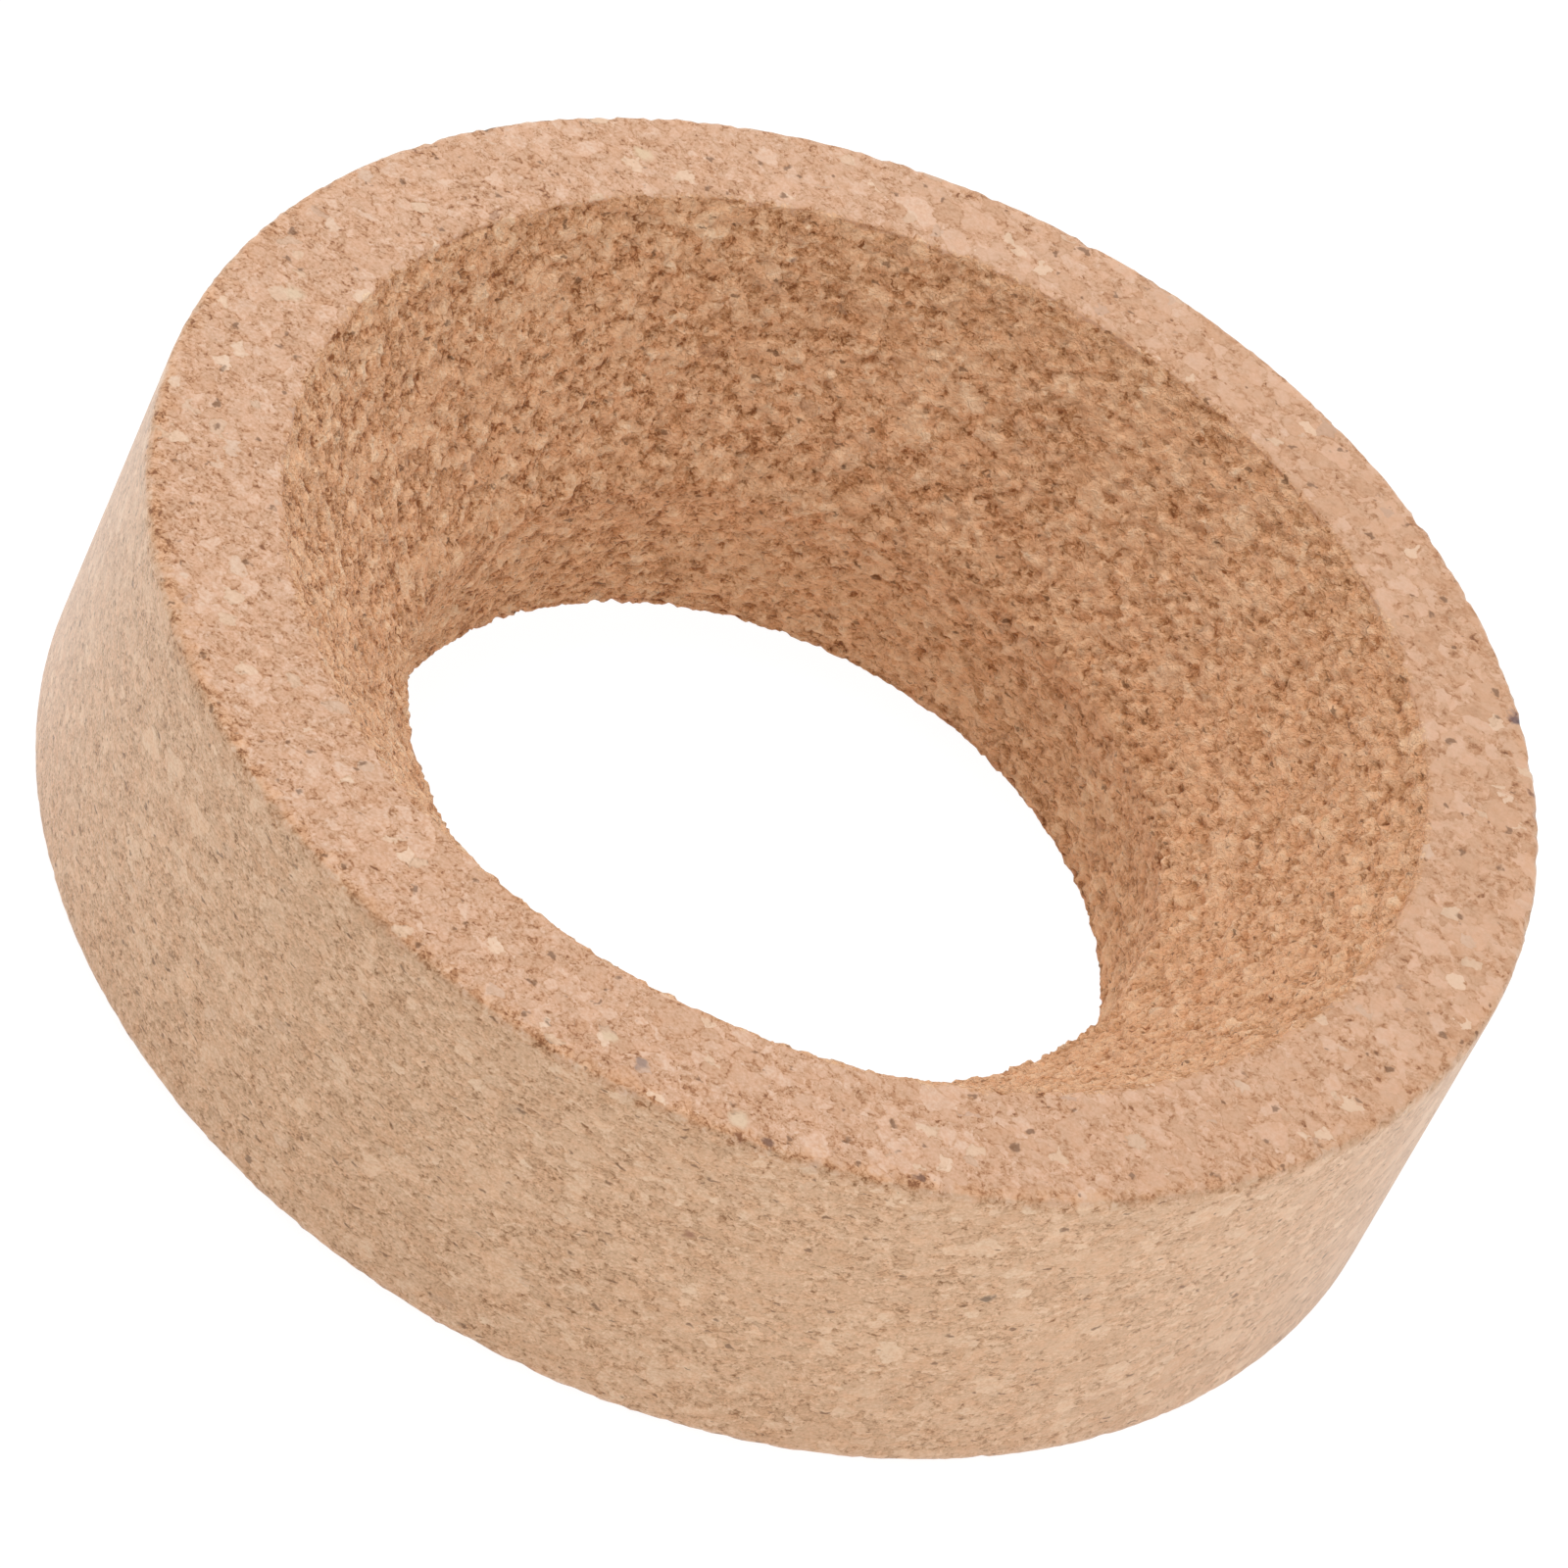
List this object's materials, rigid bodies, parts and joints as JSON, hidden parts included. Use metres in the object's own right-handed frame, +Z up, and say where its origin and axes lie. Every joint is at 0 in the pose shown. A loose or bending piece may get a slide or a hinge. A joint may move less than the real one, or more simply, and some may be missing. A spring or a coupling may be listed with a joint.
{
  "type": "cork flask ring",
  "caption": "Pressed cork ring with a conical seat and a straight bore, a stand for round-bottomed lab flasks.",
  "frame": {"origin": "centre of the round base, on the surface that the ring stands on", "axes": "+Z up along the axis of the outer wall, +Y towards the side that the hole is bored off centre to"},
  "size_m": [0.11, 0.11, 0.03],
  "materials": {
    "cork": "matte"
  },
  "bodies": {
    "root": {"cork_ring": "cork"}
  },
  "joints": []
}
